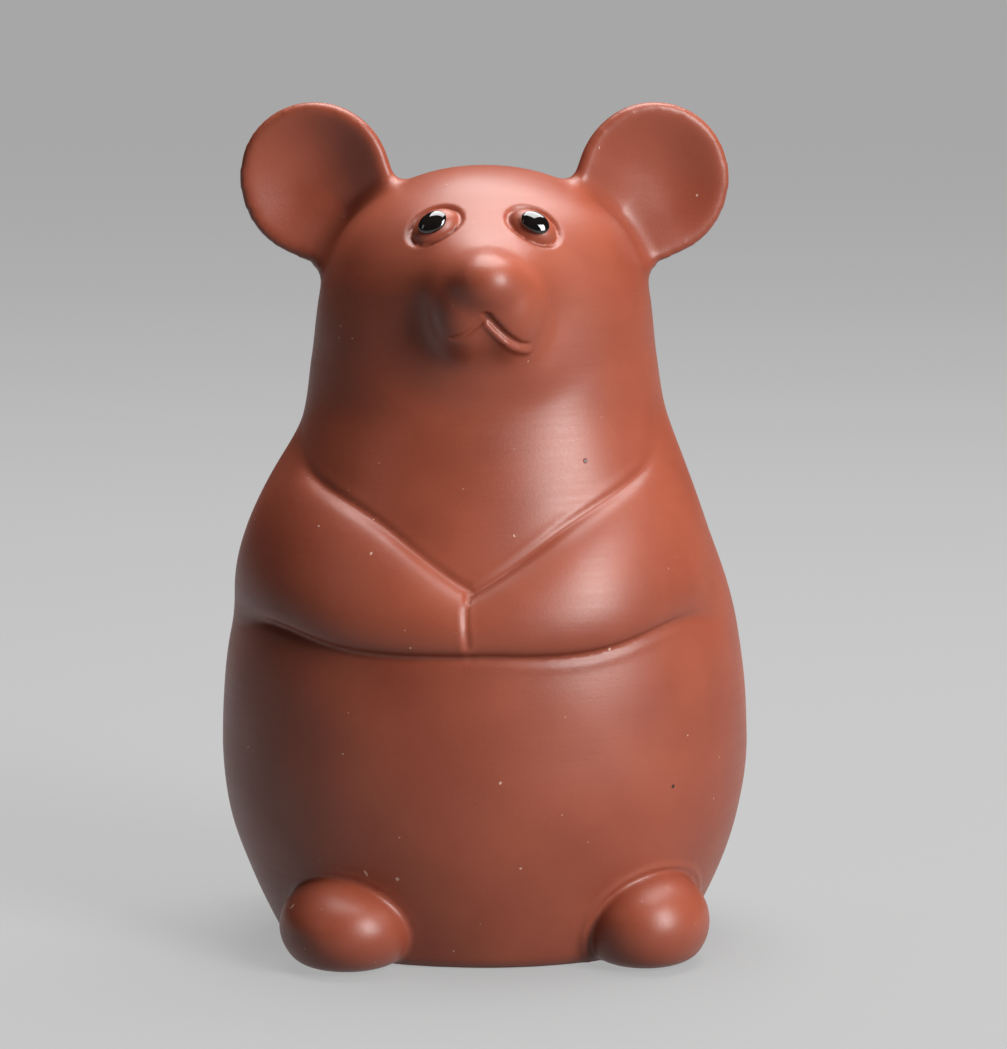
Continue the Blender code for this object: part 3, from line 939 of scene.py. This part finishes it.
def clay_group():
    outputs = [("Color", "NodeSocketColor"), ("Roughness", "NodeSocketFloat")]
    outputs.append(("Height", "NodeSocketFloat"))
    group, _, made = new_group("burnished clay", [], outputs)
    place = group.nodes.new("ShaderNodeTexCoord").outputs["Object"]
    split = group.nodes.new("ShaderNodeSeparateXYZ")
    group.links.new(place, split.inputs["Vector"])
    cloud = spread(group, noise(group, place, CLOUD_SCALE, 3), *CLOUD_EDGES)
    grain = noise(group, place, GRAIN_SCALE, 3)
    strokes = noise(group, place, 1.0, 2, STROKE_SCALES)
    sand = spread(group, noise(group, place, SPECK_SCALE, 0), *SPECK_EDGES)
    specks = largest(group, [sand, spots(group, place, PALE_SPECKS)])
    # The pits' mask dents the skin and also paints shade into each pit.
    pit_dents_and_painted_shade = spots(group, place, PITS_AND_PAINTED_SHADE)
    raw = spread(group, split.outputs["Z"], RAW_TOP * MM, RAW_BOTTOM * MM)

    tone = weighed(group, ((cloud, TONE_OF_CLOUD), (grain, TONE_OF_GRAIN)))
    colour = mix_colours(group, tone, CLAY_DARK, CLAY_LIGHT)
    layers = ((raw, RAW_SHARE, CLAY_RAW), (specks, SPECK_SHARE, CLAY_SPECK))
    # The last layer paints shade into the pits.
    for mask, share, shade in (*layers, (pit_dents_and_painted_shade, PIT_SHADE_SHARE, PIT_PAINTED_SHADE)):
        colour = mix_colours(group, maths(group, "MULTIPLY", mask, share), colour, shade)
    uneven = ((grain, ROUGH_OF_GRAIN), (strokes, ROUGH_OF_STROKES), (raw, ROUGH_OF_RAW))
    rough = maths(group, "ADD", weighed(group, uneven), BURNISHED_ROUGHNESS)
    relief = ((grain, HEIGHT_OF_GRAIN), (strokes, HEIGHT_OF_STROKES), (pit_dents_and_painted_shade, HEIGHT_OF_PITS))
    group.links.new(colour, made.inputs["Color"])
    group.links.new(rough, made.inputs["Roughness"])
    group.links.new(weighed(group, relief), made.inputs["Height"])
    return group


def new_material(name):
    material = bpy.data.materials.new(name)
    material.use_nodes = True
    return material, material.node_tree, material.node_tree.nodes["Principled BSDF"]


def group_node(tree, group):
    node = tree.nodes.new("ShaderNodeGroup")
    node.node_tree = group
    return node


def bumped(tree, shader, height):
    """Heights are in millimetres."""
    node = tree.nodes.new("ShaderNodeBump")
    node.inputs["Distance"].default_value = MM
    tree.links.new(height, node.inputs["Height"])
    tree.links.new(node.outputs["Normal"], shader.inputs["Normal"])


clay, tree, shader = new_material("red clay")
effect = group_node(tree, clay_group())
tree.links.new(effect.outputs["Color"], shader.inputs["Base Color"])
tree.links.new(effect.outputs["Roughness"], shader.inputs["Roughness"])
bumped(tree, shader, effect.outputs["Height"])
body.data.materials.clear()
body.data.materials.append(clay)
print("clay:", len(effect.node_tree.nodes), "nodes")

# %% [markdown]
# The glaze is black glass. Small ripples in the dome keep its reflections from looking turned.

# %% The glaze
GLAZE_DARK, GLAZE_LIGHT = (0.002, 0.002, 0.002, 1), (0.010, 0.007, 0.006, 1)
RIPPLE_SCALE, RIPPLE_HEIGHT = 0.9, 0.02
GLAZE_ROUGHNESS, COAT_ROUGHNESS = 0.06, 0.03


def glaze_group():
    outputs = [("Color", "NodeSocketColor"), ("Height", "NodeSocketFloat")]
    group, _, made = new_group("glaze ripple", [], outputs)
    place = group.nodes.new("ShaderNodeTexCoord").outputs["Object"]
    ripple = noise(group, place, RIPPLE_SCALE, 1)
    colour = mix_colours(group, ripple, GLAZE_DARK, GLAZE_LIGHT)
    group.links.new(colour, made.inputs["Color"])
    group.links.new(maths(group, "MULTIPLY", ripple, RIPPLE_HEIGHT), made.inputs["Height"])
    return group


glaze, tree, shader = new_material("black glaze")
effect = group_node(tree, glaze_group())
tree.links.new(effect.outputs["Color"], shader.inputs["Base Color"])
shader.inputs["Roughness"].default_value = GLAZE_ROUGHNESS
shader.inputs["Coat Weight"].default_value = 1
shader.inputs["Coat Roughness"].default_value = COAT_ROUGHNESS
bumped(tree, shader, effect.outputs["Height"])
for bead in pupils:
    bead.data.materials.clear()
    bead.data.materials.append(glaze)
print("glaze on", [bead.name for bead in pupils])

# %% [markdown]
# The photo has one large soft light, to the right and in front, and next to nothing from the left,
# so the left side falls into shade. A second soft light hangs above and a little behind. Its sheen
# lies on the forehead, the nose, the ear rims and the upper edges of the arms.

# %% The light
def lamp(name, place, target, size, power):
    light = bpy.data.lights.new(name, "AREA")
    light.shape = "RECTANGLE"
    light.size, light.size_y = size
    light.energy = power
    item = bpy.data.objects.new(name, light)
    item.location = place
    item.rotation_euler = (Vector(target) - Vector(place)).to_track_quat("-Z", "Y").to_euler()
    bpy.context.scene.collection.objects.link(item)
    return item


AIM = (0, 0, 0.04)
ROOM_GREY = (0.02, 0.02, 0.021, 1)

lamp("key", (0.46, -0.44, 0.33), AIM, (0.28, 0.46), 7.0)
lamp("top", (0.05, 0.12, 0.56), (0, 0, 0.06), (0.48, 0.50), 5.8)
lamp("fill", (-0.60, -0.34, 0.42), AIM, (0.10, 0.30), 0.12)
world = bpy.data.worlds.new("room")
bpy.context.scene.world = world
world.use_nodes = True
world.node_tree.nodes["Background"].inputs["Color"].default_value = ROOM_GREY
bpy.context.scene.view_settings.view_transform = "Standard"

# %% [markdown]
# The floor is a plain pale disc, so wide that its edge lies beyond the picture. The lamps fall off
# long before it, so it also glows a little where the camera or a mirror looks at it.

# %% The floor
FLOOR_RADIUS = 8
FLOOR_COLOUR = (0.10, 0.10, 0.10, 1)
FLOOR_GLOW = 0.38

form = bmesh.new()
bmesh.ops.create_circle(form, cap_ends=True, segments=128, radius=FLOOR_RADIUS)
floor = cutter("floor", form)
plain, tree, shader = new_material("plain floor")
shader.inputs["Base Color"].default_value = FLOOR_COLOUR
shader.inputs["Roughness"].default_value = 0.9
shader.inputs["Specular IOR Level"].default_value = 0.1
rays = tree.nodes.new("ShaderNodeLightPath")
looks = maths(tree, "ADD", rays.outputs["Is Camera Ray"], rays.outputs["Is Glossy Ray"])
looks = maths(tree, "ADD", looks, rays.outputs["Is Transmission Ray"])
shader.inputs["Emission Color"].default_value = (1, 1, 1, 1)
tree.links.new(maths(tree, "MULTIPLY", looks, FLOOR_GLOW), shader.inputs["Emission Strength"])
floor.data.materials.append(plain)
print("floor:", FLOOR_RADIUS, "m in radius")
